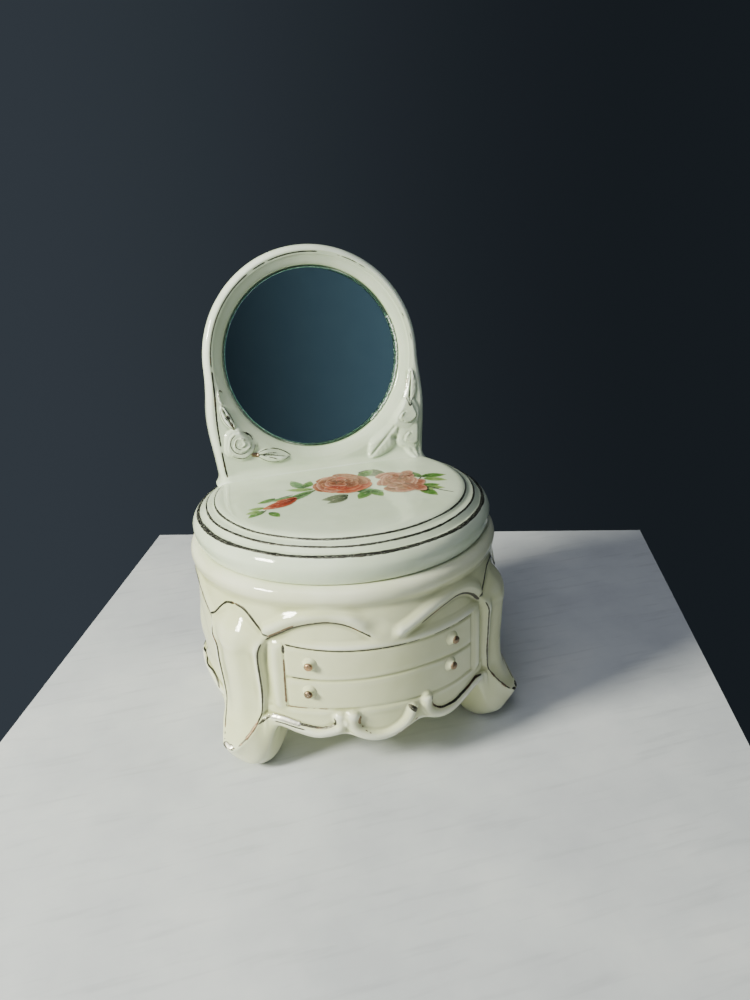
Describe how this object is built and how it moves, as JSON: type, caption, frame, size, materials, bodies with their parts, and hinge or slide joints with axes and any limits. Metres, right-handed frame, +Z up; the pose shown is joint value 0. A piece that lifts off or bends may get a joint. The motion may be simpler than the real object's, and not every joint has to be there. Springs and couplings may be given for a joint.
{
  "type": "vanity trinket box",
  "caption": "Round porcelain trinket box on cabriole legs with mock drawers and a lift-off lid that carries an upright arched mirror.",
  "frame": {"origin": "on the table, under the axis of the round drum, which is also the centre of the object's bounding box seen from above", "axes": "+Z up; -Y is the front, with the mock drawers and the mirror's face; +X is the viewer's right"},
  "size_m": [0.1162, 0.1198, 0.1773],
  "materials": {
    "base_porcelain": "ivory glazed porcelain, glossy",
    "lid_porcelain": "ivory glazed porcelain, glossy",
    "gilding": "bright gold lustre, worn",
    "glass": "clear float glass with a green ground edge",
    "silvering": "silvered coat behind the glass",
    "cement": "clear yellowish mirror cement",
    "transfer": "fired-on rose transfer under gloss"
  },
  "bodies": {
    "base": {"base_bowl": "base_porcelain", "front_apron": "base_porcelain", "rear_apron": "base_porcelain", "left_apron": "base_porcelain", "right_apron": "base_porcelain", "front_left_leg": "base_porcelain", "front_right_leg": "base_porcelain", "rear_left_leg": "base_porcelain", "rear_right_leg": "base_porcelain", "upper_drawer_front": "base_porcelain", "lower_drawer_front": "base_porcelain", "drawer_knobs": "base_porcelain", "front_scroll": "base_porcelain", "rear_scroll": "base_porcelain", "base_gilding": "gilding"},
    "lid": {"lid_disc": "lid_porcelain", "mirror_frame": "lid_porcelain", "left_rose_relief": "lid_porcelain", "right_rose_relief": "lid_porcelain", "mirror_glass": "glass", "mirror_silvering": "silvering", "mirror_cement": "cement", "rose_decal": "transfer", "lid_gilding": "gilding", "frame_gilding": "gilding"}
  },
  "joints": [
    {"name": "lid_lift", "type": "slide", "parent": "base", "child": "lid", "axis": [0, 0, 1], "range_m": [0, 0.08]}
  ]
}
